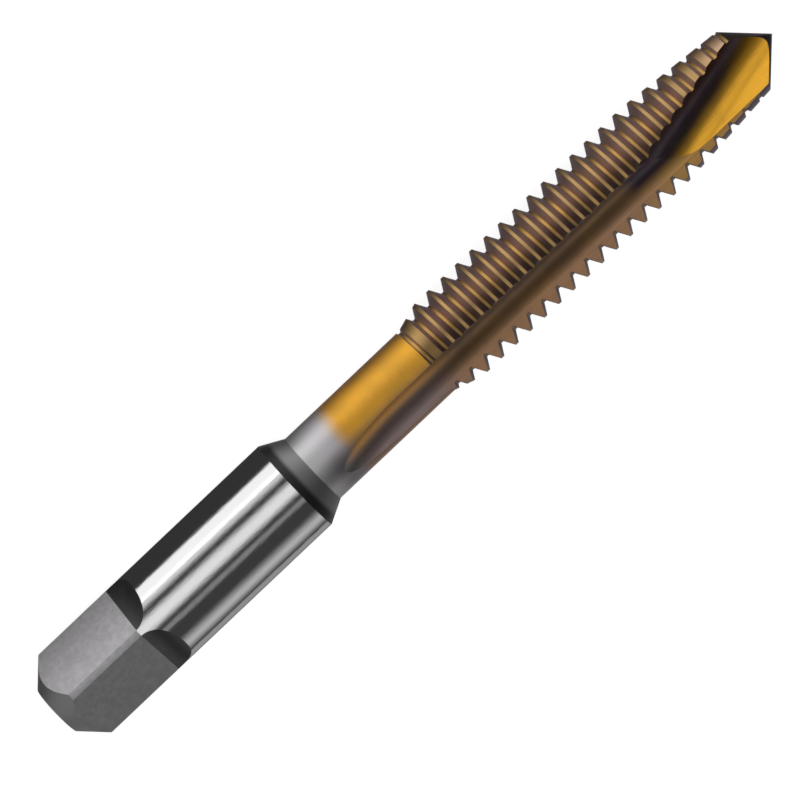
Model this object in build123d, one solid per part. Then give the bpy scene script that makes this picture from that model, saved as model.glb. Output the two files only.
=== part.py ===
"""A two-flute spiral-point tap for 1/4-20 UNC, ground from one bar of high speed steel.

The tool is built standing on its drive end with its axis on Z. Angles grow from +X towards +Y, the way the
thread climbs, and the sections of the flutes are drawn in X and Y. The last step lays the tool down along +X,
resting on one flute with the other looking up.
"""

from build123d import *
import os
from math import acos, asin, ceil, cos, degrees, radians, sin, sqrt, tan

# Lengths in mm, angles in degrees.
overall_length = 63.5
clearance = 0.5  # how far a cutter stands past the metal

# Drive end: a square ground into the shank.
shank_diameter = 6.9
square_sides = 4
square_across_flats = 5.2
square_length = 7.6
square_wheel_radius = 2.1  # leaves the hollow behind each flat
drive_face_diameter = 3.7
drive_chamfer_angle = 45.0

# Shank and neck.
shank_length = 21.2
neck_diameter = 5.24
neck_cone_angle = 27.5  # half angle of the cone from shank to neck

# Thread, 20 to the inch.
major_diameter = 6.45
pitch = 1.27
flank_angle = 30.0
crest_flat = 0.22
root_flat = 0.20
thread_length = 30.6  # from the point back to where the neck ends
shoulder_angle = 17.0
groove_lead = -0.075  # from the end of the neck to the first groove, at -90 degrees

# Lead chamfer and centre point.
point_angle = 90.0
chamfer_angle = 5.0
chamfer_end_diameter = 5.0
chamfer_relief = 0.25  # offset of each land's chamfer cone from the tool axis
relief_direction = -10.0

# Straight flutes and the lands between them.
flute_count = 2
land_middle = -50.0
groove_sweep = 145.0  # angle that a thread groove needs to clear one land
flute_lead = 3.2  # length of full flute cut into the neck
flute_wheel_radius = 19.5
flute_wheel_lift = 45.0  # direction in which the wheel leaves the flute
flute_corner_radius = 1.9
cutting_edge_offset = 0.34  # how far the cutting edge stands past the axis
rake_slope = 0.0635
heel_height = 1.0  # height of the flute's floor over the axis, at the heel
floor_slope = 0.088

# Spiral point: a slanted gash that opens each flute towards the tip.
gash_length = 12.9
gash_slant = 12.1
gash_dive = 3.15
gash_corner_radius = 2.4
gash_floor_slope = 0.27
point_web = 1.0  # metal left between the two gashes at the tip

shank_radius = shank_diameter / 2
neck_radius = neck_diameter / 2
major_radius = major_diameter / 2
drive_face_radius = drive_face_diameter / 2
outside = shank_radius + clearance
thread_start = overall_length - thread_length


def blank():
    """The turned bar, with every diameter, shoulder and point."""
    drive_chamfer = (shank_radius - drive_face_radius) / tan(radians(drive_chamfer_angle))
    neck_start = shank_length + (shank_radius - neck_radius) / tan(radians(neck_cone_angle))
    shoulder_end = thread_start + (major_radius - neck_radius) / tan(radians(shoulder_angle))
    point_start = overall_length - major_radius / tan(radians(point_angle / 2))
    profile = Polyline(
        (0, 0),
        (drive_face_radius, 0),
        (shank_radius, drive_chamfer),
        (shank_radius, shank_length),
        (neck_radius, neck_start),
        (neck_radius, thread_start),
        (major_radius, shoulder_end),
        (major_radius, point_start),
        (0, overall_length),
        close=True,
    )
    return revolve(Plane.XZ * make_face(profile), Axis.Z)


def flat_cutter():
    """The metal beyond one drive flat, with the hollow that the wheel leaves at its end."""
    flat = square_across_flats / 2
    rise = outside - flat
    run = sqrt(square_wheel_radius**2 - (square_wheel_radius - rise) ** 2)
    wheel_side = RadiusArc((flat, square_length), (outside, square_length + run), square_wheel_radius)
    other_sides = Polyline(wheel_side @ 1, (outside, -clearance), (flat, -clearance), wheel_side @ 0)
    side_view = make_face([*wheel_side.edges(), *other_sides.edges()])
    return extrude(Plane.XZ * side_view, outside, both=True)


def chamfer_cutter():
    """What the lead chamfer takes off one land: all that stands outside a cone set off the axis."""
    slope = tan(radians(chamfer_angle))
    end_radius = chamfer_end_diameter / 2
    end = overall_length - end_radius / tan(radians(point_angle / 2))
    start_radius = major_radius + chamfer_relief + clearance / 10
    start = end - (start_radius - end_radius) / slope
    length = overall_length + clearance - start
    small_radius = start_radius - length * slope
    cone_place = Rot(0, 0, relief_direction) * Pos(chamfer_relief, 0, start + length / 2)
    kept = cone_place * Cone(start_radius, small_radius, length)
    half_space = Pos(outside, 0, start + length / 2) * Box(2 * outside, 4 * outside, length)
    return Rot(0, 0, land_middle) * half_space - kept


def flute_section(wall_top, corner, heel_end, corner_radius):
    """A flute's outline: a wall down to a rounded corner and a floor out to the heel."""
    channel = FilletPolyline(wall_top, corner, heel_end, radius=corner_radius)
    mouth = Polyline(heel_end, (wall_top[0], heel_end[1]), wall_top)
    return make_face([*channel.edges(), *mouth.edges()])


def straight_flute():
    """One flute: a run parallel to the axis, and the run-out where the wheel leaves the neck."""
    wall_at_axis = cutting_edge_offset - rake_slope * major_radius
    floor_at_axis = heel_height + floor_slope * major_radius
    corner_y = (wall_at_axis + rake_slope * floor_at_axis) / (1 + rake_slope * floor_slope)
    corner_x = floor_at_axis - floor_slope * corner_y
    wall_top = (outside, wall_at_axis + rake_slope * outside)
    heel_end = (floor_at_axis - floor_slope * outside, outside)
    section = flute_section(wall_top, (corner_x, corner_y), heel_end, flute_corner_radius)
    start = thread_start - flute_lead
    run = extrude(section, overall_length + clearance - start)
    lift = Vector(cos(radians(flute_wheel_lift)), sin(radians(flute_wheel_lift)), 0)
    web = lift.dot(Vector(corner_x, corner_y, 0))
    wheel_axis = Axis(lift * (web + flute_wheel_radius), Vector(0, 0, 1).cross(lift))
    run_out_angle = degrees(acos(1 - outside / flute_wheel_radius))
    run_out = revolve(section, wheel_axis, -run_out_angle)
    return Pos(0, 0, start) * run, Pos(0, 0, start) * run_out


def spiral_point():
    """One gash: a wider flute that slants across the land and dives towards the axis at the tip."""
    reach = 2 * outside
    slant = radians(gash_slant)
    wall_y = cutting_edge_offset * cos(slant) - gash_length * sin(slant)
    floor_at_axis = point_web / 2
    corner = (floor_at_axis + gash_floor_slope * wall_y, wall_y)
    heel_end = (floor_at_axis + gash_floor_slope * reach, reach)
    section = flute_section((reach, wall_y), corner, heel_end, gash_corner_radius)
    run = Pos(0, 0, 2 * clearance) * extrude(section, -gash_length - 6 * clearance)
    return Pos(0, 0, overall_length) * Rot(gash_slant, -gash_dive, 0) * run


def groove_cutters():
    """A 60 degree groove across one land for every turn of the thread."""
    depth = (pitch - crest_flat - root_flat) / 2 / tan(radians(flank_angle))
    root_radius = major_radius - depth
    overshoot = crest_flat / 4
    mouth_half = (pitch - crest_flat) / 2 + overshoot
    mouth_radius = major_radius + overshoot / tan(radians(flank_angle))
    groove = Polyline(
        (root_radius, -root_flat / 2),
        (mouth_radius, -mouth_half),
        (mouth_radius, mouth_half),
        (root_radius, root_flat / 2),
        close=True,
    )
    helix = Edge.make_helix(pitch, pitch * groove_sweep / 360, root_radius)
    wound = sweep(Plane.XZ * make_face(groove), path=helix, is_frenet=True)
    first_angle = land_middle - groove_sweep / 2
    lowest = thread_start + groove_lead + pitch * (first_angle + 90) / 360
    turns = ceil((overall_length - lowest) / pitch)
    return [
        Pos(0, 0, lowest + pitch * turn) * Rot(0, 0, first_angle) * wound
        for turn in range(turns)
    ]


def tap():
    """The whole tool, still standing on its drive end."""
    side = 360 / square_sides
    land = 360 / flute_count
    flats = [Rot(0, 0, side * (turn + 0.5)) * flat_cutter() for turn in range(square_sides)]
    hollows = [chamfer_cutter(), *straight_flute(), spiral_point()]
    grooves = groove_cutters()
    tool = blank() - flats
    for turn in range(flute_count):
        for hollow in hollows:
            tool -= Rot(0, 0, land * turn) * hollow
    threads = [
        Pos(0, 0, pitch * turn / flute_count) * Rot(0, 0, land * turn) * groove
        for turn in range(flute_count)
        for groove in grooves
    ]
    return tool - threads


# The flute's middle is halfway from its cutting edge to its heel.
cutting_edge_angle = degrees(asin(cutting_edge_offset / major_radius))
heel_angle = degrees(acos(heel_height / major_radius))
flute_middle = (cutting_edge_angle + heel_angle) / 2
laid_down = Rot(0, 90, 0) * Rot(0, 0, 180 - flute_middle)
os.makedirs("parts", exist_ok=True)
export_step(laid_down * tap(), "parts/tap.step")
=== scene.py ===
# %% [markdown]
# # A spiral-point tap, from bar to coated tool
# A tap cuts the thread inside a hole. This one is a two-flute tap for a quarter-inch hole: a
# square to turn it by, a polished shank, a thinner neck, and a thread that tapers towards the
# point. The lesson makes it with the cuts of the workshop: turn the bar, mill the square, grind
# the lead, the flutes and the point, and cut the thread.

# %% Open the frame
from math import acos, asin, atan, cos, pi, radians, sin, sqrt, tan
import bpy
from mathutils import Matrix, Vector


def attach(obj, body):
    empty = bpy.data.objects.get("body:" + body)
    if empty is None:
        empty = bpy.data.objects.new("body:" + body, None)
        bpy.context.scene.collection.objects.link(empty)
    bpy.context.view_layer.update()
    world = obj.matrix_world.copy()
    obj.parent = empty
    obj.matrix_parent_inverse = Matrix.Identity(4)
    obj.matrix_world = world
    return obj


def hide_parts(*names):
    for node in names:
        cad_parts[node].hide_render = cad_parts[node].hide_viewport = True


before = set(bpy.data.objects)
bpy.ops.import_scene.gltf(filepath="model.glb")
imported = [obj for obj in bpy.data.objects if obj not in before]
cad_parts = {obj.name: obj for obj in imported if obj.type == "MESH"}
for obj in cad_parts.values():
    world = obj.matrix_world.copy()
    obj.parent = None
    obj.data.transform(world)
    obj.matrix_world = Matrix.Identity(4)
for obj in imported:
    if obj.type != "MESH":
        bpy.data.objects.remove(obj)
bpy.context.view_layer.update()
bpy.ops.object.select_all(action="DESELECT")
print("nodes:", list(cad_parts))

# %% [markdown]
# ## Directions on the tool
# A tap has no top of its own, but its flutes do have a way that they open. The middle of a flute
# lies halfway between its cutting edge and its heel. The tool rests with one flute looking up, and
# three directions are named from it: the way that flute opens, the way across it towards its
# cutting edge, and the way along the axis towards the point.

# %% Directions
MM = 0.001
CUTTING_EDGE_OFFSET, HEEL_HEIGHT, MAJOR_RADIUS = 0.34, 1.0, 3.225
cutting_edge_turn = asin(CUTTING_EDGE_OFFSET / MAJOR_RADIUS)
heel_turn = acos(HEEL_HEIGHT / MAJOR_RADIUS)
flute_middle = (cutting_edge_turn + heel_turn) / 2
flute_opening = Vector((0, sin(flute_middle), cos(flute_middle)))
across_flute = Vector((0, cos(flute_middle), -sin(flute_middle)))
along = Vector((1, 0, 0))
print("the flute opens along", [round(c, 3) for c in flute_opening])

# %% [markdown]
# ## The view
# The camera is a long lens at a distance, so the tool hardly tapers with depth. Its place is
# worked out from the tool itself: it looks into the open flute at the tool's middle, a little from
# the point's side, and is rolled until the tool lies along the frame's diagonal.

# %% Camera
VIEW_DISTANCE, VIEW_FIELD, SENSOR_WIDTH = 351.3 * MM, 51.6 * MM, 36
VIEW_TILT, DIAGONAL = radians(1.64), radians(43.42)
AIM_ALONG, AIM_ACROSS = 29.9 * MM, -0.66 * MM
NEAREST, FURTHEST = 0.01, 10

aim = along * AIM_ALONG + across_flute * AIM_ACROSS
back = flute_opening * cos(VIEW_TILT) + along * sin(VIEW_TILT)
sideways = along * cos(DIAGONAL) - across_flute * sin(DIAGONAL)
up = back.cross(sideways).normalized()
right = up.cross(back)

camera_data = bpy.data.cameras.new("camera")
camera_data.sensor_width = SENSOR_WIDTH
camera_data.lens = SENSOR_WIDTH * VIEW_DISTANCE / VIEW_FIELD
camera_data.clip_start, camera_data.clip_end = NEAREST, FURTHEST
camera = bpy.data.objects.new("camera", camera_data)
bpy.context.collection.objects.link(camera)
turn = Matrix((right, up, back)).transposed().to_4x4()
camera.matrix_world = Matrix.Translation(aim + back * VIEW_DISTANCE) @ turn
bpy.context.scene.camera = camera
bpy.context.scene.view_settings.view_transform = "Standard"
print("camera at", [round(c, 4) for c in camera.location], "lens", round(camera_data.lens, 1))

# %% [markdown]
# ## Tracing an outline
# Turned and ground shapes all start as an outline. By hand one would shrink a plane to a single
# vertex and extrude it from point to point, and this helper does the same. The tool is modelled
# standing on its square end, in millimetres, and is laid down and scaled to metres when it is
# finished.

# %% Outline helpers
def trace(name, points, filled=True):
    """An outline through the points, drawn by extruding one vertex."""
    bpy.ops.mesh.primitive_plane_add(size=1, location=(0, 0, 0))
    outline = bpy.context.object
    outline.name = name
    bpy.ops.object.mode_set(mode="EDIT")
    bpy.ops.mesh.select_all(action="SELECT")
    bpy.ops.mesh.merge(type="CENTER")
    bpy.ops.transform.translate(value=points[0])
    for before, after in zip(points, points[1:]):
        step = Vector(after) - Vector(before)
        bpy.ops.mesh.extrude_region_move(TRANSFORM_OT_translate={"value": step})
    if filled:
        bpy.ops.mesh.select_all(action="SELECT")
        bpy.ops.mesh.edge_face_add()
    bpy.ops.object.mode_set(mode="OBJECT")
    return outline


def rounded_corner(before, corner, after, radius, steps=24):
    """Points along an arc that rounds a corner of a flat outline."""
    before, corner, after = Vector(before), Vector(corner), Vector(after)
    back_along, onward = (before - corner).normalized(), (after - corner).normalized()
    half = back_along.angle(onward) / 2
    centre = corner + (back_along + onward).normalized() * radius / sin(half)
    start = corner + back_along * radius / tan(half) - centre
    end = corner + onward * radius / tan(half) - centre
    return [centre + radius * start.slerp(end, step / steps, start) for step in range(steps + 1)]


# %% [markdown]
# ## Closing a solid
# A Boolean needs closed solids whose faces all point outwards. A spin comes back to where it began
# and doubles its first vertices, and an extruded or wound outline is open at its ends. So doubles
# are joined and ends are capped, and the edges that are still open are counted: there should be
# none.

# %% Closing helper
DOUBLED = 1e-5


def close_up(piece):
    """Joins doubled vertices, caps open ends and turns faces outwards. Returns the open edges."""
    bpy.context.view_layer.objects.active = piece
    bpy.ops.object.mode_set(mode="EDIT")
    bpy.ops.mesh.select_all(action="SELECT")
    bpy.ops.mesh.remove_doubles(threshold=DOUBLED)
    bpy.ops.mesh.select_all(action="SELECT")
    bpy.ops.mesh.fill_holes(sides=0)
    bpy.ops.mesh.select_all(action="SELECT")
    bpy.ops.mesh.normals_make_consistent(inside=False)
    bpy.ops.mesh.select_all(action="DESELECT")
    bpy.ops.mesh.select_non_manifold()
    bpy.ops.object.mode_set(mode="OBJECT")
    return sum(edge.select for edge in piece.data.edges)


# %% [markdown]
# ## The turned bar
# The lathe gives every round surface: the chamfered drive end, the shank, the cone down to the
# neck, the shoulder up to the thread, and the point. One outline spun about the axis makes them
# all, with enough steps that the polished shank mirrors its surroundings without facets.

# %% Turn the bar
LENGTH, SQUARE_LENGTH, SHANK_LENGTH, THREAD_LENGTH = 63.5, 7.6, 21.2, 30.6
SHANK_RADIUS, NECK_RADIUS, DRIVE_FACE_RADIUS = 3.45, 2.62, 1.85
CONE_ANGLE, SHOULDER_ANGLE = radians(27.5), radians(17)
TURNING_STEPS = 320
CHAMFER_LENGTH = SHANK_RADIUS - DRIVE_FACE_RADIUS
NECK_START = SHANK_LENGTH + (SHANK_RADIUS - NECK_RADIUS) / tan(CONE_ANGLE)
THREAD_START = LENGTH - THREAD_LENGTH
SHOULDER_END = THREAD_START + (MAJOR_RADIUS - NECK_RADIUS) / tan(SHOULDER_ANGLE)
POINT_START = LENGTH - MAJOR_RADIUS

tap = trace("tap_body", [
    (0, 0, 0),
    (DRIVE_FACE_RADIUS, 0, 0),
    (SHANK_RADIUS, 0, CHAMFER_LENGTH),
    (SHANK_RADIUS, 0, SQUARE_LENGTH),
    (SHANK_RADIUS, 0, SHANK_LENGTH),
    (NECK_RADIUS, 0, NECK_START),
    (NECK_RADIUS, 0, THREAD_START),
    (MAJOR_RADIUS, 0, SHOULDER_END),
    (MAJOR_RADIUS, 0, POINT_START),
    (0, 0, LENGTH),
], filled=False)
bpy.ops.object.mode_set(mode="EDIT")
bpy.ops.mesh.select_all(action="SELECT")
bpy.ops.mesh.spin(steps=TURNING_STEPS, angle=2 * pi, center=(0, 0, 0), axis=(0, 0, 1))
bpy.ops.object.mode_set(mode="OBJECT")
print("bar:", [round(d, 3) for d in tap.dimensions], "mm, open edges", close_up(tap))

# %% [markdown]
# ## A finish for every wheel
# On the real tool each surface is left by its own wheel. So every cutter carries the finish that
# its wheel leaves, and hands it to the faces that it cuts. The materials are made now, empty, and
# are given their nodes further down. The bar starts with the finish of the lathe.

# %% Name the finishes
FINISHES = ["bright_shank", "ground_flat", "wheel_hollow", "turned_steel", "thread_flank",
            "thread_crest", "flute_floor", "gash_floor"]
finishes = {name: bpy.data.materials.new(name) for name in FINISHES}


def give(piece, finish):
    """Gives a piece one finish all over."""
    piece.data.materials.clear()
    piece.data.materials.append(finishes[finish])
    return piece


give(tap, "turned_steel")
print("finishes:", FINISHES)

# %% [markdown]
# ## Cutting with Booleans
# A solid in the shape of the wheel's path is taken from the bar, as the wheel would take it. A tap
# repeats each cut: four flats, two lands and two flutes. So a cutter is modelled once, and a copy
# with its own mesh is turned about the axis for each cut.

# %% Cutting helpers
EACH_FLAT, EACH_FLUTE = (45, 135, 225, 315), (0, 180)


def pick(piece):
    """Selects one piece and nothing else."""
    bpy.ops.object.select_all(action="DESELECT")
    piece.select_set(True)
    bpy.context.view_layer.objects.active = piece


def settle(piece):
    """Carries a piece's place, turn and size into its mesh."""
    pick(piece)
    bpy.ops.object.transform_apply(location=True, rotation=True, scale=True)
    return piece


def turned_copy(piece, degrees):
    """A copy of a cutter, turned about the tool's axis."""
    copy = piece.copy()
    copy.data = piece.data.copy()
    bpy.context.collection.objects.link(copy)
    copy.rotation_euler.z = radians(degrees)
    return settle(copy)


def cut(work, cutter):
    """Takes the cutter out of the work and throws the cutter away."""
    pick(work)
    tool = work.modifiers.new("cut", "BOOLEAN")
    tool.operation = "DIFFERENCE"
    tool.solver = "MANIFOLD"
    tool.material_mode = "TRANSFER"
    tool.object = cutter
    bpy.ops.object.modifier_apply(modifier=tool.name)
    bpy.data.objects.remove(cutter)


def cut_round(cutter, turns):
    """Cuts the tap at each of the turns about its axis, in degrees, and prints its faces."""
    for degrees in turns:
        cut(tap, turned_copy(cutter, degrees))
    print("after the", cutter.name, "there are", len(tap.data.polygons), "faces")
    bpy.data.objects.remove(cutter)


# %% [markdown]
# ## The square
# A wheel grinds four flats on the end of the shank, and its rim leaves a hollow where each one
# stops. The cutter's outline is the flat, the wheel's arc and a line well outside the metal.

# %% Mill the square
CLEARANCE = 0.5
OUTSIDE = SHANK_RADIUS + CLEARANCE
FLAT, FLAT_WHEEL, FLAT_WHEEL_STEPS = 2.6, 2.1, 12
wheel_reach = acos(1 - (OUTSIDE - FLAT) / FLAT_WHEEL)
wheel_rim = []
for step in range(FLAT_WHEEL_STEPS + 1):
    angle = wheel_reach * step / FLAT_WHEEL_STEPS
    rise, onward = FLAT_WHEEL * (1 - cos(angle)), FLAT_WHEEL * sin(angle)
    wheel_rim.append((FLAT + rise, 0, SQUARE_LENGTH + onward))
flat_cutter = trace("flat_cutter", [(OUTSIDE, 0, -CLEARANCE), (FLAT, 0, -CLEARANCE), *wheel_rim])
bpy.ops.object.mode_set(mode="EDIT")
bpy.ops.mesh.select_all(action="SELECT")
bpy.ops.transform.translate(value=(0, -OUTSIDE, 0))
bpy.ops.mesh.extrude_region_move(TRANSFORM_OT_translate={"value": (0, 2 * OUTSIDE, 0)})
bpy.ops.object.mode_set(mode="OBJECT")
print("flat cutter open edges", close_up(give(flat_cutter, "ground_flat")))
cut_round(flat_cutter, EACH_FLAT)

# %% [markdown]
# ## The lead chamfer
# The first threads of each land are ground down towards the point, so that every tooth cuts a
# little deeper than the one before. The cone of that grinding stands off the tool's axis, which
# leaves the heel of each tooth lower than its cutting edge. The cutter is half a block with such a
# cone taken out of it.

# %% Grind the lead
LAND_MIDDLE, RELIEF, RELIEF_DIRECTION = -50, 0.25, -10
LEAD_SLOPE, LEAD_END_RADIUS, LEAD_MARGIN = tan(radians(5)), 2.5, 0.05
LEAD_STEPS, CONE_OVERLAP = 512, 0.2
lead_end = LENGTH - LEAD_END_RADIUS
lead_radius = MAJOR_RADIUS + RELIEF + LEAD_MARGIN
lead_start = lead_end - (lead_radius - LEAD_END_RADIUS) / LEAD_SLOPE
lead_length = LENGTH + CLEARANCE - lead_start
lead_middle = lead_start + lead_length / 2
bpy.ops.mesh.primitive_cube_add(size=1, location=(OUTSIDE, 0, lead_middle),
                                scale=(2 * OUTSIDE, 4 * OUTSIDE, lead_length))
lead_block = give(bpy.context.object, "thread_crest")
bpy.ops.mesh.primitive_cone_add(vertices=LEAD_STEPS, radius1=lead_radius,
                                radius2=lead_radius - lead_length * LEAD_SLOPE,
                                depth=lead_length + CONE_OVERLAP,
                                location=(RELIEF, 0, lead_middle))
lead_cone = give(bpy.context.object, "thread_crest")
lead_cutter = turned_copy(settle(lead_block), LAND_MIDDLE)
lead_cutter.name = "lead_cutter"
cut(lead_cutter, turned_copy(settle(lead_cone), RELIEF_DIRECTION))
bpy.data.objects.remove(lead_block)
bpy.data.objects.remove(lead_cone)
cut_round(lead_cutter, EACH_FLUTE)

# %% [markdown]
# ## The flute's section
# Each flute has a cutting wall and a floor that runs out to the heel, with a rounded corner
# between. The wall leans a little under the cutting edge, which gives the edge its rake. Where
# wall and floor would meet is worked out from the two slopes, and the helper rounds that corner.

# %% Flute section
RAKE, FLOOR_SLOPE, FLUTE_CORNER = 0.0635, 0.088, 1.9
wall_at_axis = CUTTING_EDGE_OFFSET - RAKE * MAJOR_RADIUS
floor_at_axis = HEEL_HEIGHT + FLOOR_SLOPE * MAJOR_RADIUS
corner_y = (wall_at_axis + RAKE * floor_at_axis) / (1 + RAKE * FLOOR_SLOPE)
flute_corner = Vector((floor_at_axis - FLOOR_SLOPE * corner_y, corner_y))
wall_top = (OUTSIDE, wall_at_axis + RAKE * OUTSIDE)
heel_end = (floor_at_axis - FLOOR_SLOPE * OUTSIDE, OUTSIDE)


def section(name, start, corner, end, radius, height):
    """A flute's outline at a height: wall, rounded corner, floor, and back outside the metal."""
    outline = [start, *rounded_corner(start, corner, end, radius), end, (start[0], end[1])]
    return trace(name, [(*point, height) for point in outline])


print("wall and floor would meet at", [round(c, 3) for c in flute_corner], "mm")

# %% [markdown]
# ## The flutes
# The section is traced once. Extruded upwards it makes the straight run, and spun about the
# wheel's centre it makes the run-out, where the wheel lifted out of the neck. The spin starts from
# the section's lower ring, so only that ring is selected.

# %% Grind the flutes
FLUTE_WHEEL, RUN_OUT_STEPS, STRAIGHT_IN_NECK = 19.5, 40, 3.2
flute_start = THREAD_START - STRAIGHT_IN_NECK
flute_cutter = section("flute_cutter", wall_top, flute_corner, heel_end, FLUTE_CORNER, flute_start)
give(flute_cutter, "flute_floor")
lift = Vector((1, 1, 0)).normalized()
wheel_height = lift.dot(flute_corner.to_3d()) + FLUTE_WHEEL
wheel_centre = lift * wheel_height + Vector((0, 0, flute_start))
wheel_axis = Vector((0, 0, 1)).cross(lift)
run_out = acos(1 - OUTSIDE / FLUTE_WHEEL)
straight_run = LENGTH + CLEARANCE - flute_start
bpy.ops.object.mode_set(mode="EDIT")
bpy.ops.mesh.select_all(action="SELECT")
bpy.ops.mesh.delete(type="ONLY_FACE")
bpy.ops.mesh.select_all(action="SELECT")
bpy.ops.mesh.extrude_region_move(TRANSFORM_OT_translate={"value": (0, 0, straight_run)})
bpy.ops.mesh.select_all(action="DESELECT")
bpy.ops.object.mode_set(mode="OBJECT")
for vertex in flute_cutter.data.vertices:
    vertex.select = vertex.co.z < THREAD_START
bpy.ops.object.mode_set(mode="EDIT")
bpy.ops.mesh.spin(steps=RUN_OUT_STEPS, angle=run_out, center=wheel_centre, axis=wheel_axis)
bpy.ops.object.mode_set(mode="OBJECT")
heights = [vertex.co.z for vertex in flute_cutter.data.vertices]
print("flute from", round(min(heights), 2), "to", round(max(heights), 2), "mm, open edges",
      close_up(flute_cutter))
cut_round(flute_cutter, EACH_FLUTE)

# %% [markdown]
# ## The spiral point
# A second, wider gash slants across each flute near the point and dives towards the axis. It
# pushes the chips ahead of the tap. Its section is traced square to the way the wheel travels,
# extruded back along it, and tilted about two axes.

# %% Grind the spiral point
GASH_LENGTH, GASH_SLANT, GASH_DIVE, GASH_CORNER = 12.9, radians(12.1), radians(3.15), 2.4
GASH_FLOOR_SLOPE, GASH_FLOOR_HEIGHT = 0.27, 0.5
GASH_AHEAD, GASH_BEHIND, WELL_OUTSIDE = 1, 3, 2 * OUTSIDE
gash_wall = CUTTING_EDGE_OFFSET * cos(GASH_SLANT) - GASH_LENGTH * sin(GASH_SLANT)
gash_corner = (GASH_FLOOR_HEIGHT + GASH_FLOOR_SLOPE * gash_wall, gash_wall)
gash_heel = (GASH_FLOOR_HEIGHT + GASH_FLOOR_SLOPE * WELL_OUTSIDE, WELL_OUTSIDE)
gash_cutter = section("gash_cutter", (WELL_OUTSIDE, gash_wall), gash_corner, gash_heel,
                      GASH_CORNER, GASH_AHEAD)
give(gash_cutter, "gash_floor")
gash_run = (0, 0, -GASH_LENGTH - GASH_BEHIND)
bpy.ops.object.mode_set(mode="EDIT")
bpy.ops.mesh.select_all(action="SELECT")
bpy.ops.mesh.extrude_region_move(TRANSFORM_OT_translate={"value": gash_run})
bpy.ops.object.mode_set(mode="OBJECT")
print("gash cutter open edges", close_up(gash_cutter))
gash_cutter.rotation_mode = "ZYX"
gash_cutter.rotation_euler = (GASH_SLANT, -GASH_DIVE, 0)
gash_cutter.location.z = LENGTH
settle(gash_cutter).rotation_mode = "XYZ"
cut_round(gash_cutter, EACH_FLUTE)

# %% [markdown]
# ## The thread groove
# Twenty turns to the inch, with flanks at sixty degrees. The groove between two threads is traced
# as a small outline, and a Screw modifier winds it round the axis and up. The groove is made a
# little wider than its mouth, outside the metal, so that no thin skin is left on the crests.

# %% Wind the groove
PITCH, CREST, ROOT, FLANK = 1.27, 0.22, 0.20, radians(30)
FIRST_GROOVE_TURN, GROOVE_BACK, WINDING_STEPS = -122.5, 0.075, 160
widening = CREST / 4
root_radius = MAJOR_RADIUS - (PITCH - CREST - ROOT) / 2 / tan(FLANK)
mouth_radius = MAJOR_RADIUS + widening / tan(FLANK)
mouth = (PITCH - CREST) / 2 + widening
first_groove = THREAD_START - GROOVE_BACK + PITCH * (FIRST_GROOVE_TURN + 90) / 360
groove_turns = int((LENGTH - first_groove) / PITCH) + 1
groove = trace("groove_cutter", [
    (root_radius, 0, first_groove - ROOT / 2),
    (mouth_radius, 0, first_groove - mouth),
    (mouth_radius, 0, first_groove + mouth),
    (root_radius, 0, first_groove + ROOT / 2),
])
bpy.ops.object.mode_set(mode="EDIT")
bpy.ops.mesh.select_all(action="SELECT")
bpy.ops.mesh.delete(type="ONLY_FACE")
bpy.ops.object.mode_set(mode="OBJECT")
winding = groove.modifiers.new("winding", "SCREW")
winding.axis = "Z"
winding.angle = 2 * pi
winding.screw_offset = PITCH
winding.iterations = groove_turns
winding.steps = winding.render_steps = WINDING_STEPS
bpy.context.view_layer.objects.active = groove
bpy.ops.object.modifier_apply(modifier=winding.name)
print("groove: turns", groove_turns, "depth", round(MAJOR_RADIUS - root_radius, 3), "mm")

# %% [markdown]
# ## The thread
# A tap is right-handed, and a modifier can wind either way, so a point a quarter of a turn on is
# measured first: it has to have risen by a quarter of the pitch. Then the groove is turned to
# where the first thread starts and is cut through lands, lead and shoulder at once.

# %% Cut the thread
quarter_turn_on = Vector((0, root_radius, first_groove - ROOT / 2 + PITCH / 4))
nearest = min(groove.data.vertices, key=lambda vertex: (vertex.co - quarter_turn_on).length)
print("a quarter turn on, the groove's lower corner is at", [round(c, 3) for c in nearest.co],
      "and should be at z", round(quarter_turn_on.z, 3))
print("groove cutter open edges", close_up(give(groove, "thread_flank")))
cut_round(groove, [FIRST_GROOVE_TURN])

# %% [markdown]
# ## Lying down
# The tool comes to rest on the mouth of one flute with the other flute looking up. It is turned
# about its axis by half a turn less the flute's middle, tipped onto its side and scaled to metres,
# and all three are applied, so that the finished object sits at the origin. Faces that meet at
# more than a few degrees keep a crisp edge, because a ground tool has one.

# %% Lay the tool down
CRISP_ANGLE = radians(12)
tap.rotation_mode = "ZYX"
tap.rotation_euler = (0, pi / 2, pi - flute_middle)
tap.scale = (MM, MM, MM)
settle(tap).rotation_mode = "XYZ"
bpy.ops.object.shade_smooth_by_angle(angle=CRISP_ANGLE)
print("laid down:", [round(d, 5) for d in tap.dimensions], "m")
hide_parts("tap")
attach(tap, "root")

# %% [markdown]
# ## Which finish goes where
# The Booleans have given each cut its finish, but four places share a cut and differ in finish.
# The round part of the shank is polished after turning, the strips between the flats are dulled
# with them, the front of the bar becomes the thread's crests, and the hollows at the end of the
# flats are painted dark as shade. Each is found by its place on the tool or the way it faces.

# %% Sort the finishes
ROUNDNESS, HOLLOW_LEAN = 0.01, -0.03


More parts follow.
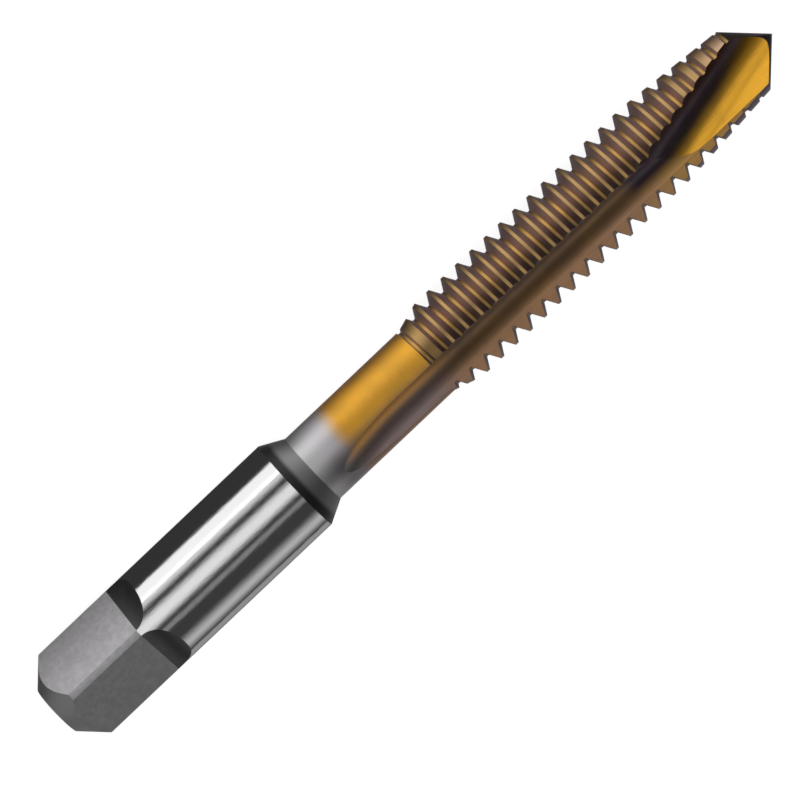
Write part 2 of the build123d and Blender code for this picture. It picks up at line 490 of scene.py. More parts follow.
def finish_at(face, finish):
    """The finish of a face, from the wheel that cut it and its place on the tool."""
    x, y, z = face.center / MM
    on_shank = sqrt(y**2 + z**2) > SHANK_RADIUS - ROUNDNESS
    if finish == "turned_steel":
        if SQUARE_LENGTH < x < SHANK_LENGTH and on_shank:
            return "bright_shank"
        if CHAMFER_LENGTH < x < SQUARE_LENGTH:
            return "ground_flat"
        if x > THREAD_START:
            return "thread_crest"
    if finish == "ground_flat" and face.normal.x < HOLLOW_LEAN:
        return "wheel_hollow"
    return finish


for name in ("bright_shank", "wheel_hollow"):
    tap.data.materials.append(finishes[name])
slots = tap.data.materials.keys()
for face in tap.data.polygons:
    face.material_index = slots.index(finish_at(face, slots[face.material_index]))
used = [face.material_index for face in tap.data.polygons]
print("faces of each finish:", {name: used.count(slot) for slot, name in enumerate(slots)})

# %% [markdown]
# ## Working with shader nodes
# Every finish is a small network of nodes. This helper adds one node, sets it up and links its
# inputs in a single call, so that a finish reads like a list of what the surface has been through.

# %% Node helpers
def add_node(tree, kind, inputs=None, **settings):
    """Adds a node. An input is given as a value or as the socket that feeds it."""
    made = tree.nodes.new("ShaderNode" + kind)
    for key, value in settings.items():
        setattr(made, key, value)
    for key, value in (inputs or {}).items():
        if isinstance(value, bpy.types.NodeSocket):
            tree.links.new(value, made.inputs[key])
        else:
            made.inputs[key].default_value = value
    return made


def math(tree, operation, *values, clamp=False):
    """One step of arithmetic."""
    inputs = dict(enumerate(values))
    return add_node(tree, "Math", inputs, operation=operation, use_clamp=clamp).outputs[0]


def remap(tree, value, low, high, new_low=0.0, new_high=1.0, smooth=True):
    """Carries a value from one range to another, with soft ends."""
    kind = "SMOOTHSTEP" if smooth else "LINEAR"
    inputs = {"Value": value, "From Min": low, "From Max": high,
              "To Min": new_low, "To Max": new_high}
    return add_node(tree, "MapRange", inputs, interpolation_type=kind).outputs["Result"]


def dot(tree, first, second):
    """How far the first vector reaches along the second."""
    inputs = {0: first, 1: second}
    return add_node(tree, "VectorMath", inputs, operation="DOT_PRODUCT").outputs["Value"]


# %% [markdown]
# ## Mixing colours
# A Mix node keeps the inputs of every kind of value in one list, so the colours are found by their
# number. Dimming a colour is a mix that multiplies it by a grey.

# %% Colour helpers
MIX_FACTOR, MIX_FIRST, MIX_SECOND, MIX_RESULT = 0, 6, 7, 2


def blend_colors(tree, factor, first, second, mode="MIX"):
    """Blends two colours, each given as red, green and blue or as a socket."""
    made = add_node(tree, "Mix", {MIX_FACTOR: factor}, data_type="RGBA", blend_type=mode)
    for index, color in ((MIX_FIRST, first), (MIX_SECOND, second)):
        if isinstance(color, bpy.types.NodeSocket):
            tree.links.new(color, made.inputs[index])
        else:
            made.inputs[index].default_value = (*color, 1)
    return made.outputs[MIX_RESULT]


def dim(tree, color, amount):
    """A colour times a number."""
    return blend_colors(tree, 1.0, color, amount, mode="MULTIPLY")


def ramp(tree, factor, stops):
    """A colour read from a row of stops, by a factor from 0 to 1."""
    made = add_node(tree, "ValToRGB", {"Fac": factor})
    colors = made.color_ramp.elements
    while len(colors) < len(stops):
        colors.new(1.0)
    for element, (position, color) in zip(colors, stops):
        element.position = position
        element.color = (*color, 1)
    return made.outputs[0]


# %% [markdown]
# ## Where a place is, and which way it faces
# Wear, painted light and shade, and the coat all follow the tool's shape, so a finish asks three
# things of each place: how far it is from the drive end, which way its surface faces, and how it
# lies to the flutes. All of them belong to the tool, so they stay the same from wherever it is
# seen.

# %% Place helpers
def station(tree, place):
    """The distance from the drive end, in metres."""
    return add_node(tree, "SeparateXYZ", {0: place}).outputs[0]


def facing(tree, vector):
    """How far the surface faces a fixed direction of the tool, from -1 to 1."""
    return dot(tree, add_node(tree, "NewGeometry").outputs["Normal"], vector)


def squareness(tree, vector):
    """How squarely the surface faces a direction or its opposite, so that both flutes agree."""
    return math(tree, "ABSOLUTE", facing(tree, vector))


def outwardness(tree, place):
    """How far the surface faces straight away from the tool's axis, from -1 to 1."""
    spoke = add_node(tree, "VectorMath", {0: place, 1: (0, 1, 1)}, operation="MULTIPLY")
    spoke = add_node(tree, "VectorMath", {0: spoke.outputs[0]}, operation="NORMALIZE")
    return facing(tree, spoke.outputs[0])


def beside_flute(tree, place):
    """Above zero round from a flute's cutting edge and below zero round from its heel.

    It is the distance across the flute times the distance towards its opening, in square
    millimetres, and is the same for both flutes.
    """
    sideways = dot(tree, place, across_flute / MM)
    outward = dot(tree, place, flute_opening / MM)
    return math(tree, "MULTIPLY", sideways, outward)


# %% [markdown]
# ## Grain
# A grinding wheel leaves long fine scratches the way it travels, and a lathe leaves rings. Both
# are noise that is stretched along one axis of the tool. The marks are a hundredth of a millimetre
# deep at most, so they only change how the light scatters.

# %% Grain helpers
MARK_DEPTH = 0.01 * MM
NEARLY_ALL, MIDDLE = (0.2, 0.8), (0.3, 0.7)  # where nearly all of the noise lies, and its middle


def noise(tree, place, grains, detail=3.0, roughness=0.5):
    """Noise with so many grains to the metre, along X, Y and Z."""
    stretched = add_node(tree, "Mapping", {"Vector": place, "Scale": grains}).outputs[0]
    inputs = {"Vector": stretched, "Scale": 1.0, "Detail": detail, "Roughness": roughness}
    return add_node(tree, "TexNoise", inputs).outputs["Fac"]


def begin(name):
    """The node tree of a finish, its shader and the place on the tool."""
    material = finishes[name]
    material.use_nodes = True
    tree = material.node_tree
    shader = tree.nodes["Principled BSDF"]
    shader.inputs["Metallic"].default_value = 1.0
    place = add_node(tree, "TexCoord").outputs["Object"]
    return tree, shader, place


def bump(tree, shader, height, strength):
    """Marks in the surface, from noise."""
    inputs = {"Height": height, "Strength": strength, "Distance": MARK_DEPTH}
    tree.links.new(add_node(tree, "Bump", inputs).outputs[0], shader.inputs["Normal"])


# %% [markdown]
# ## Polished shank
# The shank is ground round and polished until it mirrors the room. What is left of the wheel is a
# breath of ring-shaped scratches and a slight unevenness, like the peel of an orange, that makes
# the edges of the mirrored lights waver.

# %% Polished shank
RING_GRAINS, PEEL_GRAINS, CLOUD_GRAINS = (9000, 60, 60), (1500, 5000, 5000), (260, 260, 260)
DARKER_SHANK, LIGHTER_SHANK = (0.83, 0.83, 0.83), (0.89, 0.89, 0.89)
SHANK_ROUGHNESS, PEEL_SHARE, SHANK_BUMP = (0.09, 0.15), 2.5, 0.20

tree, shader, place = begin("bright_shank")
rings = noise(tree, place, RING_GRAINS, detail=4)
clouds = noise(tree, place, CLOUD_GRAINS)
polished = blend_colors(tree, clouds, DARKER_SHANK, LIGHTER_SHANK)
tree.links.new(polished, shader.inputs["Base Color"])
tree.links.new(remap(tree, rings, *NEARLY_ALL, *SHANK_ROUGHNESS), shader.inputs["Roughness"])
peel = noise(tree, place, PEEL_GRAINS, detail=3, roughness=0.6)
bump(tree, shader, math(tree, "ADD", rings, math(tree, "MULTIPLY", peel, PEEL_SHARE)), SHANK_BUMP)
print("polished shank:", len(tree.nodes), "nodes")

# %% [markdown]
# ## Ground flats
# The flats of the square are ground in one pass and left cloudy, with long scratches and a few
# pits, because nothing runs on them. Two opposite flats, the pair that faces halfway between the
# flute's opening and across it, get painted light and the other two painted shade, and the strips
# between them lie between the two tones.

# %% Ground flats
BLOTCH_GRAINS, SCRATCH_GRAINS, PIT_GRAINS = (2200, 2200, 2200), (500, 14000, 14000), (2600,) * 3
DULL_FLAT, CLEAR_FLAT = (0.88, 0.86, 0.88), (1.00, 0.98, 1.00)
BLOTCH_EDGES, PIT_EDGES, PAIR_EDGES = (0.35, 0.68), (0.30, 0.42), (0.6, 0.9)
PAINTED_SHADE_PAIR, PAINTED_LIGHT_PAIR, PIT_DEPTH = 0.72, 0.95, -1.5
FLAT_ROUGHNESS, FLAT_BUMP = (0.68, 0.64), 0.14
# Painted light on the pair of flats facing this way, painted shade on the other pair.
lit_pair_faces = (across_flute + flute_opening).normalized()

tree, shader, place = begin("ground_flat")
blotches = noise(tree, place, BLOTCH_GRAINS, detail=4, roughness=0.65)
scratches = noise(tree, place, SCRATCH_GRAINS, detail=2)
ground = blend_colors(tree, remap(tree, blotches, *BLOTCH_EDGES), DULL_FLAT, CLEAR_FLAT)
pair = squareness(tree, lit_pair_faces)
painted_pair_light_and_shade = remap(tree, pair, *PAIR_EDGES, PAINTED_SHADE_PAIR, PAINTED_LIGHT_PAIR)
tree.links.new(dim(tree, ground, painted_pair_light_and_shade), shader.inputs["Base Color"])
tree.links.new(remap(tree, blotches, *MIDDLE, *FLAT_ROUGHNESS), shader.inputs["Roughness"])
pits = remap(tree, noise(tree, place, PIT_GRAINS, detail=3), *PIT_EDGES, PIT_DEPTH, 0.0)
bump(tree, shader, math(tree, "ADD", scratches, pits), FLAT_BUMP)
print("ground flats:", len(tree.nodes), "nodes")

# %% [markdown]
# ## Shaded hollows
# Where each flat ends, the wheel's rim leaves a hollow. The steel there is painted nearly black in
# blotches as shade, and stays half dull.

# %% Shaded hollows
HOLLOW_SHADE_GRAINS, HOLLOW_ROUGHNESS = (900, 900, 900), 0.45
# Painted shade in the hollows, nearly black in blotches.
HOLLOW_SHADE_DARKEST, HOLLOW_SHADE_LIGHTER = (0.12, 0.12, 0.12), (0.24, 0.24, 0.24)

tree, shader, place = begin("wheel_hollow")
hollow_shade = blend_colors(tree, noise(tree, place, HOLLOW_SHADE_GRAINS, detail=4), HOLLOW_SHADE_DARKEST, HOLLOW_SHADE_LIGHTER)
tree.links.new(hollow_shade, shader.inputs["Base Color"])
shader.inputs["Roughness"].default_value = HOLLOW_ROUGHNESS
print("burnt hollows:", len(tree.nodes), "nodes")

# %% [markdown]
# ## The gold coat
# The front of the tool carries a thin hard coat, put on as a vapour. Its colour is gold, with
# painted light and shade: full gold where the surface faces the way that each finish takes for the
# light, and bronze, then purple, as painted shade on steep walls and flanks that turn from it. It
# fades out along the neck through grey mauve and straw, because the thinnest film shows colours
# like oil on water. The helper takes a painted light level, from 0 to 1, lets it drift a little
# from place to place, and gives the colour.

# %% Coat
COAT_START, COAT_FULL, COAT_EDGE_WAVER = 23.6 * MM, 26.2 * MM, 0.3 * MM
DRIFT_GRAINS, DRIFT, WAVER_GRAINS = (700, 700, 700), 0.06, (300, 300, 300)
FRINGE_END = 0.45
# The lower stops are painted shade on surfaces turned from the light; the top stop is the gold
# coat.
COAT_AND_SHADE_STOPS = [
    (0.00, (0.085, 0.060, 0.085)),
    (0.25, (0.160, 0.105, 0.110)),
    (0.50, (0.300, 0.185, 0.105)),
    (0.75, (0.600, 0.330, 0.060)),
    (1.00, (1.000, 0.510, 0.045)),
]
FRINGE_STOPS = [
    (0.00, (0.80, 0.79, 0.80)),
    (0.35, (0.77, 0.74, 0.77)),
    (0.60, (0.74, 0.68, 0.68)),
    (1.00, (0.80, 0.64, 0.46)),
]


def coat(tree, place, painted_light_level):
    """The coat's colour, for a painted light level from 0, a wall in painted shade, to 1, a lit
    face.
    """
    drift = noise(tree, place, DRIFT_GRAINS, detail=4)
    drift = remap(tree, drift, *MIDDLE, -DRIFT, DRIFT, smooth=False)
    film = ramp(tree, math(tree, "ADD", painted_light_level, drift, clamp=True), COAT_AND_SHADE_STOPS)
    waver = noise(tree, place, WAVER_GRAINS)
    waver = remap(tree, waver, *MIDDLE, -COAT_EDGE_WAVER, COAT_EDGE_WAVER, smooth=False)
    edge = math(tree, "ADD", station(tree, place), waver)
    edge = remap(tree, edge, COAT_START, COAT_FULL, smooth=False)
    past_fringe = remap(tree, edge, FRINGE_END, 1.0)
    return blend_colors(tree, past_fringe, ramp(tree, edge, FRINGE_STOPS), film)


print("coat starts at", round(COAT_START / MM, 1), "and is full at", round(COAT_FULL / MM, 1), "mm")

# %% [markdown]
# ## Oil and sheen
# A tap is sold with a wipe of oil, and the fine grain of the coat scatters a little pale violet
# light where a surface turns away. A clear coat and a sheen on the shader give both. They are the
# same all over a finish, so they are set on the shader's own sockets.

# %% Oil and sheen helper
OIL_REFRACTION, SHEEN_SPREAD, SHEEN_TINT = 1.5, 0.3, (0.85, 0.72, 0.88, 1)


def oil_and_sheen(shader, oil, oil_roughness, sheen):
    """Sets how much oil lies on a finish, how rough the oil looks, and the sheen."""
    shader.inputs["Coat Weight"].default_value = oil
    shader.inputs["Coat Roughness"].default_value = oil_roughness
    shader.inputs["Coat IOR"].default_value = OIL_REFRACTION
    shader.inputs["Sheen Weight"].default_value = sheen
    shader.inputs["Sheen Roughness"].default_value = SHEEN_SPREAD
    shader.inputs["Sheen Tint"].default_value = SHEEN_TINT


# %% [markdown]
# ## Turned steel and the neck
# The lathe's fine rings make the drive end, the cone and the neck satin. Painted shade makes the
# cone and the drive end's chamfer darker than the neck, and a black ring beside the polished shank
# is a painted dark reflection. Round from the flute's heel painted shade turns the neck's film
# mauve.

# %% Turned steel and the neck
FEED_GRAINS, NECK_LIGHT_LEVEL, NECK_BUMP = (16000, 40, 40), 0.97, 0.15
# Mauve painted shade on the neck round from the heel, and a black ring painted as a dark
# reflection.
NECK_MAUVE_SHADE, MAUVE_START, MAUVE_FULL = (0.30, 0.24, 0.25), 22.8 * MM, 24.5 * MM
RING_DARK_REFLECTION = (0.05, 0.05, 0.05)
RING_START, RING_BLACKEST, RING_FADES, RING_END = 20.5 * MM, 21.0 * MM, 21.6 * MM, 22.0 * MM
NECK_HEEL, MAUVE_SHARE = (0.8, -3.2), 0.75
# Painted shade on the cone and the drive end's chamfer, by the way they face.
CONE_LEAN, CONE_SHADE, CHAMFER_LEAN, CHAMFER_SHADE = (0.1, 0.4), 0.45, (-0.4, -0.6), 0.70
NECK_ROUGHNESS = (0.46, 0.56)

tree, shader, place = begin("turned_steel")
feed = noise(tree, place, FEED_GRAINS, detail=2)
near_heel = remap(tree, beside_flute(tree, place), *NECK_HEEL, 0.0, MAUVE_SHARE)
past_cone = remap(tree, station(tree, place), MAUVE_START, MAUVE_FULL)
film = coat(tree, place, NECK_LIGHT_LEVEL)
film = blend_colors(tree, math(tree, "MULTIPLY", near_heel, past_cone), film, NECK_MAUVE_SHADE)
film = dim(tree, film, remap(tree, facing(tree, along), *CONE_LEAN, 1.0, CONE_SHADE))
film = dim(tree, film, remap(tree, facing(tree, along), *CHAMFER_LEAN, 1.0, CHAMFER_SHADE))
# A black ring painted as a dark reflection beside the polished shank.
dark_reflection_ring = math(tree, "MULTIPLY",
                 remap(tree, station(tree, place), RING_END, RING_FADES),
                 remap(tree, station(tree, place), RING_START, RING_BLACKEST))
film = blend_colors(tree, dark_reflection_ring, film, RING_DARK_REFLECTION)
tree.links.new(film, shader.inputs["Base Color"])
tree.links.new(remap(tree, feed, *NEARLY_ALL, *NECK_ROUGHNESS), shader.inputs["Roughness"])
oil_and_sheen(shader, oil=0.45, oil_roughness=0.5, sheen=0.9)
bump(tree, shader, feed, NECK_BUMP)
print("turned steel:", len(tree.nodes), "nodes")

# %% [markdown]
# ## A coated finish
# Thread, flutes and point were ground before they were coated, so under the coat each one keeps
# the marks of its own wheel. This helper puts the parts together: the film's colour, which a
# function for each surface gives, the marks, the oil and the sheen.

# %% Coated finish helper
GRINDING_VARIES, OIL_ROUGHNESS, GRINDING_BUMP = 0.05, 0.3, 0.12


def coated(name, film_of, grains, roughness, oil, sheen):
    """Gives one ground and coated surface its finish."""
    tree, shader, place = begin(name)
    tree.links.new(film_of(tree, place), shader.inputs["Base Color"])
    marks = noise(tree, place, grains, detail=2)
    ground = remap(tree, marks, *NEARLY_ALL,
                   roughness - GRINDING_VARIES, roughness + GRINDING_VARIES)
    tree.links.new(ground, shader.inputs["Roughness"])
    oil_and_sheen(shader, oil, OIL_ROUGHNESS, sheen)
    bump(tree, shader, marks, GRINDING_BUMP)
    print(name + ":", len(tree.nodes), "nodes")


# %% [markdown]
# ## Thread flanks and roots
# The groove's cutter gave flanks and roots one finish, so they are told apart by how far they face
# outwards. Roots look straight out and are a worn gold. Flanks are steep and brown, with painted
# shade on the ones that look to the point and painted light on those that look back to the drive
# end. Towards the heel of each land painted shade makes both darker.

# %% Thread flanks
# Painted shade on flanks that look to the point and towards each heel, painted light on the others.
SHADED_FRONT_FLANK, LIT_BACK_FLANK, WORN_GOLD = (0.36, 0.25, 0.26), (0.74, 0.55, 0.40), (0.42, 0.31, 0.20)
ROOT_WEAR, HEEL_SHADE, LAND_SPAN = 0.2, 0.55, (-0.5, 3.0)
THREAD_FACING, THREAD_LIGHT_LEVELS = (0.6, 1.0), (0.50, 0.76)
LEAN_SPAN, ROOT_EDGES = (0.3, -0.3), (0.62, 0.9)


def thread_coat(tree, place):
    """The coat on the thread, with painted shade where the surface turns from facing outwards."""
    outward = outwardness(tree, place)
    return coat(tree, place, remap(tree, outward, *THREAD_FACING, *THREAD_LIGHT_LEVELS))


def flank_film(tree, place):
    """The colour of the flanks and roots, with painted light and shade."""
    root = blend_colors(tree, ROOT_WEAR, thread_coat(tree, place), WORN_GOLD)
    leans_back = remap(tree, facing(tree, along), *LEAN_SPAN)
    flank = blend_colors(tree, leans_back, SHADED_FRONT_FLANK, LIT_BACK_FLANK)
    on_root = remap(tree, outwardness(tree, place), *ROOT_EDGES)
    film = blend_colors(tree, on_root, flank, root)
    return dim(tree, film, remap(tree, beside_flute(tree, place), *LAND_SPAN, HEEL_SHADE, 1.0))


coated("thread_flank", flank_film, (3000, 200, 200), roughness=0.45, oil=0.6, sheen=0.9)

# %% [markdown]
# ## Thread crests, lead and point
# The crests were ground last, and their gold is the most worn. On the first threads the lead's
# grinding leaves wide tan crests, with a purple painted shade towards the heel, and the cone of
# the point, which faces forwards, is darkened with painted shade.

# %% Thread crests
# Purple painted shade towards the heel of the lead, and painted shade on the forward-facing point.
LEAD_TAN, HEEL_PURPLE_SHADE = (0.70, 0.45, 0.27), (0.20, 0.14, 0.20)
TAN_START, TAN_FULL, PURPLE_START, PURPLE_FULL = 58.0 * MM, 60.5 * MM, 51.5 * MM, 54.5 * MM
CREST_WEAR, CREST_HEEL, POINT_LEAN, POINT_SHADE = 0.4, (0.8, -0.6), (0.4, 0.6), 0.2


def crest_film(tree, place):
    """The colour of the crests, the lead and the point, with painted shade at the heel and point.
    """
    film = blend_colors(tree, CREST_WEAR, thread_coat(tree, place), WORN_GOLD)
    on_lead = remap(tree, station(tree, place), TAN_START, TAN_FULL)
    film = blend_colors(tree, on_lead, film, LEAD_TAN)
    near_lead = remap(tree, station(tree, place), PURPLE_START, PURPLE_FULL)
    near_heel = remap(tree, beside_flute(tree, place), *CREST_HEEL)
    film = blend_colors(tree, math(tree, "MULTIPLY", near_lead, near_heel), film, HEEL_PURPLE_SHADE)
    return dim(tree, film, remap(tree, facing(tree, along), *POINT_LEAN, 1.0, POINT_SHADE))


coated("thread_crest", crest_film, (9000, 200, 200), roughness=0.42, oil=0.6, sheen=0.4)

# %% [markdown]
# ## Flutes
# The flutes are painted brown, as half in shade, with painted light along the heel in a copper
# tone. Four things change that along the tool. Near the gash the floor has painted light in gold
# brown and the wall painted shade, nearly black, a patch of painted shade lies where the gash
# begins, the run-out in the neck has a mauve floor, where the thin coat meets painted shade, and
# gold sides, and past the coat's edge there is bare steel.

# %% Flutes
# Painted light along the heel in copper; painted shade as a patch, by the gash and in the run-out.
HEEL_COPPER_LIGHT, SHADE_PATCH_COLOR, BARE_STEEL = (0.76, 0.40, 0.23), (0.11, 0.075, 0.10), (0.38, 0.38, 0.39)
GASH_SIDE_WALL_SHADE, GASH_SIDE_FLOOR_LIGHT = (0.13, 0.09, 0.11), (0.66, 0.37, 0.10)
RUN_OUT_SIDE, RUN_OUT_FLOOR_SHADE = (0.95, 0.50, 0.12), (0.42, 0.31, 0.30)
GASH_NEARS, GASH_REACHED, PATCH_START, PATCH_FULL = 48.5 * MM, 54.5 * MM, 49.4 * MM, 50.6 * MM
RUN_OUT_NEARS, RUN_OUT_REACHED, STEEL_FULL, STEEL_END = 35.0 * MM, 31.0 * MM, 24.0 * MM, 26.4 * MM
FLUTE_FACING, FLUTE_LIGHT_LEVELS = (0.2, 1.0), (0.50, 0.56)
FLUTE_HEEL, COPPER_SHARE = (-1.2, -2.6), 0.5
FLOOR_EDGES, PATCH_EDGES, RUN_OUT_EDGES = (0.5, 1.0), (0.98, 0.84), (0.55, 0.92)


def flute_film(tree, place):
    """The colour of a flute, from the run-out to the gash, with its painted light and shade."""
    open_to_sky, where = squareness(tree, flute_opening), station(tree, place)
    film = coat(tree, place, remap(tree, open_to_sky, *FLUTE_FACING, *FLUTE_LIGHT_LEVELS))
    near_heel = remap(tree, beside_flute(tree, place), *FLUTE_HEEL, 0.0, COPPER_SHARE)
    film = blend_colors(tree, near_heel, film, HEEL_COPPER_LIGHT)
    on_floor = remap(tree, open_to_sky, *FLOOR_EDGES)
    gash_side_light_and_shade = blend_colors(tree, on_floor, GASH_SIDE_WALL_SHADE, GASH_SIDE_FLOOR_LIGHT)
    film = blend_colors(tree, remap(tree, where, GASH_NEARS, GASH_REACHED), film, gash_side_light_and_shade)
    shade_patch = math(tree, "MULTIPLY", remap(tree, where, PATCH_START, PATCH_FULL),
                 remap(tree, open_to_sky, *PATCH_EDGES))
    film = blend_colors(tree, shade_patch, film, SHADE_PATCH_COLOR)
    lying_flat = remap(tree, open_to_sky, *RUN_OUT_EDGES)
    run_out_gold_and_shade = blend_colors(tree, lying_flat, RUN_OUT_SIDE, RUN_OUT_FLOOR_SHADE)
    film = blend_colors(tree, remap(tree, where, RUN_OUT_NEARS, RUN_OUT_REACHED), film, run_out_gold_and_shade)
    return blend_colors(tree, remap(tree, where, STEEL_FULL, STEEL_END), BARE_STEEL, film)


coated("flute_floor", flute_film, (300, 9000, 9000), roughness=0.48, oil=0.5, sheen=0.6)

# %% [markdown]
# ## Spiral point
# The gash's floor gets the most painted light and is the brightest gold on the tool, while its
# wall is painted shade, nearly black. So painted shade darkens the coat by how far the surface
# turns from the way that the floor faces. That direction follows from the floor's slope and the
# slant of the cut. At the very front painted light brightens even the steeper parts a little.

# %% Spiral point
# Painted light added at the very front of the gash.
FRONT_LIGHT_START, FRONT_LIGHT_FULL, FRONT_PAINTED_LIGHT = 57.5 * MM, 62.5 * MM, 0.16
GASH_FACING, GASH_LIGHT_LEVELS = (0.55, 0.97), (0.05, 1.0)
gash_lean = atan(GASH_FLOOR_SLOPE)
gash_opening = flute_opening * cos(gash_lean)
gash_opening += across_flute * sin(gash_lean) * cos(GASH_SLANT)
gash_opening -= along * sin(gash_lean) * sin(GASH_SLANT)


def gash_film(tree, place):
    """The colour of the gash, with its painted light and shade."""
    front_painted_light = remap(tree, station(tree, place), FRONT_LIGHT_START, FRONT_LIGHT_FULL,
                       0.0, FRONT_PAINTED_LIGHT)
    open_to_sky = math(tree, "ADD", squareness(tree, gash_opening), front_painted_light)
    return coat(tree, place, remap(tree, open_to_sky, *GASH_FACING, *GASH_LIGHT_LEVELS))


coated("gash_floor", gash_film, (300, 9000, 9000), roughness=0.34, oil=0.12, sheen=0.1)
print("the gash opens along", [round(c, 3) for c in gash_opening])

# %% [markdown]
# ## Studio
# Polished metal shows its surroundings more than its own colour, so the studio is drawn with care.
# Strip softboxes hang round the tool, parallel to its axis. They are painted into the world as
# soft bands, each at an angle about the axis, and fade towards the tool's ends. A weaker card
# stands beyond each end, and a little plain light comes from everywhere. The camera itself sees
# white in the world's place.

# %% Softboxes
SOFTBOXES = [  # angle about the axis, half width, softness, all in degrees, and strength
    (-59, 16, 3, 0.80),
    (-46, 15, 7, 0.60),
    (1, 14, 9, 0.78),
    (35, 5, 4, 0.20),
    (99, 14, 16, 0.45),
]
AMBIENT, STRIP_REST, END_CARD = 0.045, 0.22, 0.40
STRIPS_FADE, STRIPS_FADED, CARD_BEGINS, CARD_FULL = 0.2, 0.7, 0.86, 0.97

world = bpy.data.worlds.new("studio")
bpy.context.scene.world = world
world.use_nodes = True
sky = world.node_tree
sky_place = add_node(sky, "TexCoord").outputs["Generated"]
across_sky, over_sky = dot(sky, sky_place, -across_flute), dot(sky, sky_place, flute_opening)
around = math(sky, "ARCTAN2", across_sky, over_sky)
endwards = math(sky, "ABSOLUTE", dot(sky, sky_place, along))
light = AMBIENT
for angle, half_width, softness, strength in SOFTBOXES:
    away = math(sky, "ABSOLUTE", math(sky, "SUBTRACT", around, radians(angle)))
    strip = remap(sky, away, radians(half_width + softness), radians(half_width - softness),
                  0, strength)
    light = math(sky, "ADD", light, strip)
fade = remap(sky, endwards, STRIPS_FADE, STRIPS_FADED, 1.0, STRIP_REST)
end_cards = remap(sky, endwards, CARD_BEGINS, CARD_FULL, 0.0, END_CARD)
light = math(sky, "ADD", math(sky, "MULTIPLY", light, fade), end_cards)
studio = sky.nodes["Background"]
studio.inputs["Color"].default_value = (1, 1, 1, 1)
sky.links.new(light, studio.inputs["Strength"])
backdrop = add_node(sky, "Background", {"Color": (1, 1, 1, 1)})
seen = add_node(sky, "LightPath").outputs["Is Camera Ray"]
shown = add_node(sky, "MixShader", {0: seen, 1: studio.outputs[0], 2: backdrop.outputs[0]})
sky.links.new(shown.outputs[0], sky.nodes["World Output"].inputs["Surface"])
print("softboxes:", len(SOFTBOXES))

# %% [markdown]
# ## Card over the point
# One small white card hangs close over the point. The open floor of the gash would otherwise
# mirror the gap between two softboxes. Its power is worked out from the brightness that it should
# have and its area.

# %% Hang the card
CARD_STATION, CARD_REACH, CARD_TURN = 65.5 * MM, 90 * MM, radians(27)
CARD_SIDE, CARD_GLOW = 30 * MM, 0.85
card_way = flute_opening * cos(CARD_TURN) + across_flute * sin(CARD_TURN)
bpy.ops.object.light_add(type="AREA", location=along * CARD_STATION + card_way * CARD_REACH)
card = bpy.context.object
card.name = "point_card"
card.rotation_euler = card_way.to_track_quat("Z", "X").to_euler()
card.data.shape = "SQUARE"
card.data.size = CARD_SIDE
card.data.energy = CARD_GLOW * pi * CARD_SIDE**2
print("card at", [round(c, 4) for c in card.location], "power", round(card.data.energy, 5), "W")

# %% [markdown]
# ## The paper under the tool
# The floor is white paper, level with the lowest side of the shank.

# %% Lay the paper
PAPER_SIZE, PAPER_MIDDLE = 3, 0.03
PAPER_COLOR, PAPER_ROUGHNESS = (0.9, 0.9, 0.9, 1), 0.9
bpy.ops.mesh.primitive_plane_add(size=PAPER_SIZE, location=(PAPER_MIDDLE, 0, -SHANK_RADIUS * MM))
floor = bpy.context.object
floor.name = "floor"
paper = bpy.data.materials.new("paper")
paper.use_nodes = True
floor.data.materials.append(paper)
tree = paper.node_tree
bare_paper = tree.nodes["Principled BSDF"]
bare_paper.inputs["Base Color"].default_value = PAPER_COLOR
bare_paper.inputs["Roughness"].default_value = PAPER_ROUGHNESS
print("paper at z", round(floor.location.z, 5), "m")

# %% [markdown]
# ## What the metal sees of the paper
# In the metal the paper shows a painted glow, as it would look in the room: a painted reflection of
# light out on the side where the light falls on it, dim far out on the other side, and a painted
# shadow close to the tool, which stands in its own light. Beside the neck and the thread, which are
# thinner than the shank, the bright side reaches further in and the painted shadow close to the
# tool isn't quite dark. Lengths are taken from the paper's middle.

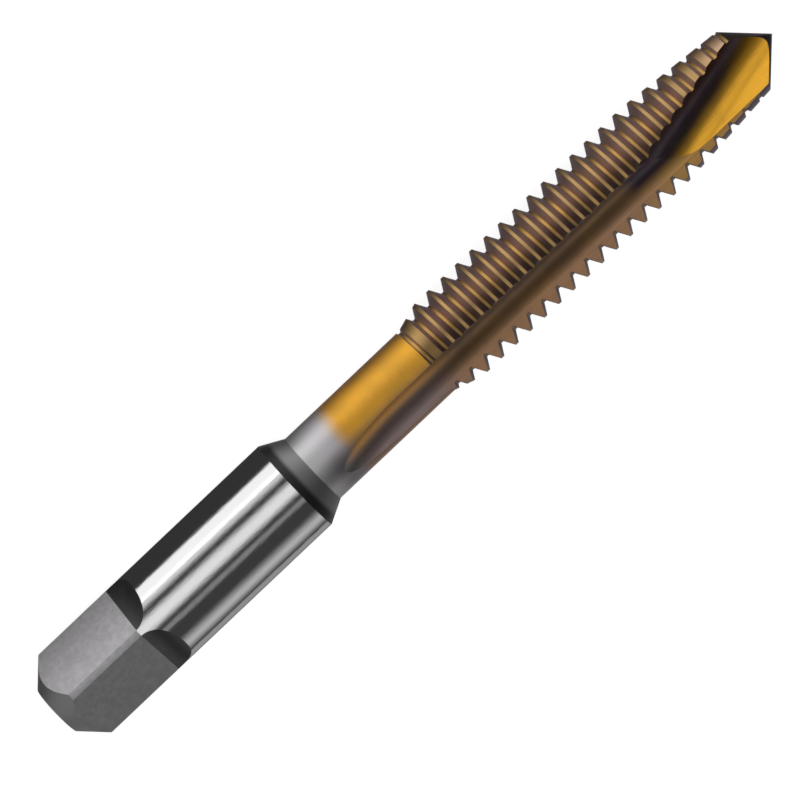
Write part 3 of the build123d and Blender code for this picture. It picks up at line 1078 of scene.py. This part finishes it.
# %% Paper in the metal
# A painted reflection of lit paper and a painted shadow near the tool, seen only by glossy rays.
LIT_EDGE, LIT_FULL, LIT_GLOW = 10.5 * MM, 13.5 * MM, 1.0
SHANK_SIDE, NECK_SIDE, REACH_IN = -10 * MM, -4 * MM, 4.5 * MM
FAR_EDGE, FAR_FULL, FAR_DARK, FAR_GLOW = -6 * MM, -16 * MM, 0.035, 0.30
CLOSE_START, CLOSE_FULL, CLOSE_EDGE, CLOSE_OUT, CLOSE_GLOW = -9 * MM, -5 * MM, 2 * MM, 6 * MM, 0.34

paper_place = add_node(tree, "SeparateXYZ", {0: add_node(tree, "TexCoord").outputs["Object"]})
lengthwise, sideways = paper_place.outputs[0], paper_place.outputs[1]
reach_in = remap(tree, lengthwise, SHANK_SIDE, NECK_SIDE, 0.0, REACH_IN)
lit_side = remap(tree, math(tree, "ADD", sideways, reach_in), LIT_EDGE, LIT_FULL, 0.0, LIT_GLOW)
far_side = remap(tree, sideways, FAR_EDGE, FAR_FULL, FAR_DARK, FAR_GLOW)
close_in = math(tree, "MULTIPLY", remap(tree, lengthwise, CLOSE_START, CLOSE_FULL),
                remap(tree, sideways, CLOSE_EDGE, CLOSE_OUT))
paper_glow = math(tree, "MAXIMUM", math(tree, "ADD", lit_side, far_side),
                  math(tree, "MULTIPLY", close_in, CLOSE_GLOW))
mirrored = add_node(tree, "Emission", {"Color": (1, 1, 1, 1), "Strength": paper_glow})
print("paper in the metal:", len(tree.nodes), "nodes")

# %% [markdown]
# ## What the camera sees of the paper
# A camera ray sees the paper glow, with the light that falls on it added. The sum is a plain white
# that keeps a trace of the tool's shadow. Rays that light dull surfaces find the bare paper, so
# the glow puts no light on the tool.

# %% Paper in the picture
PAPER_GLOW = 0.88
path = add_node(tree, "LightPath").outputs
glow = add_node(tree, "Emission", {"Color": (1, 1, 1, 1), "Strength": PAPER_GLOW})
pictured = add_node(tree, "AddShader", {0: glow.outputs[0], 1: bare_paper.outputs[0]})
in_metal = math(tree, "MAXIMUM", path["Is Glossy Ray"], path["Is Transmission Ray"])
room = add_node(tree, "MixShader", {0: in_metal, 1: bare_paper.outputs[0], 2: mirrored.outputs[0]})
shown = add_node(tree, "MixShader",
                 {0: path["Is Camera Ray"], 1: room.outputs[0], 2: pictured.outputs[0]})
tree.links.new(shown.outputs[0], tree.nodes["Material Output"].inputs["Surface"])
print("paper:", len(tree.nodes), "nodes")

# %% [markdown]
# ## Finish
# The scene is brought up to date.

# %% Finish
bpy.context.view_layer.update()
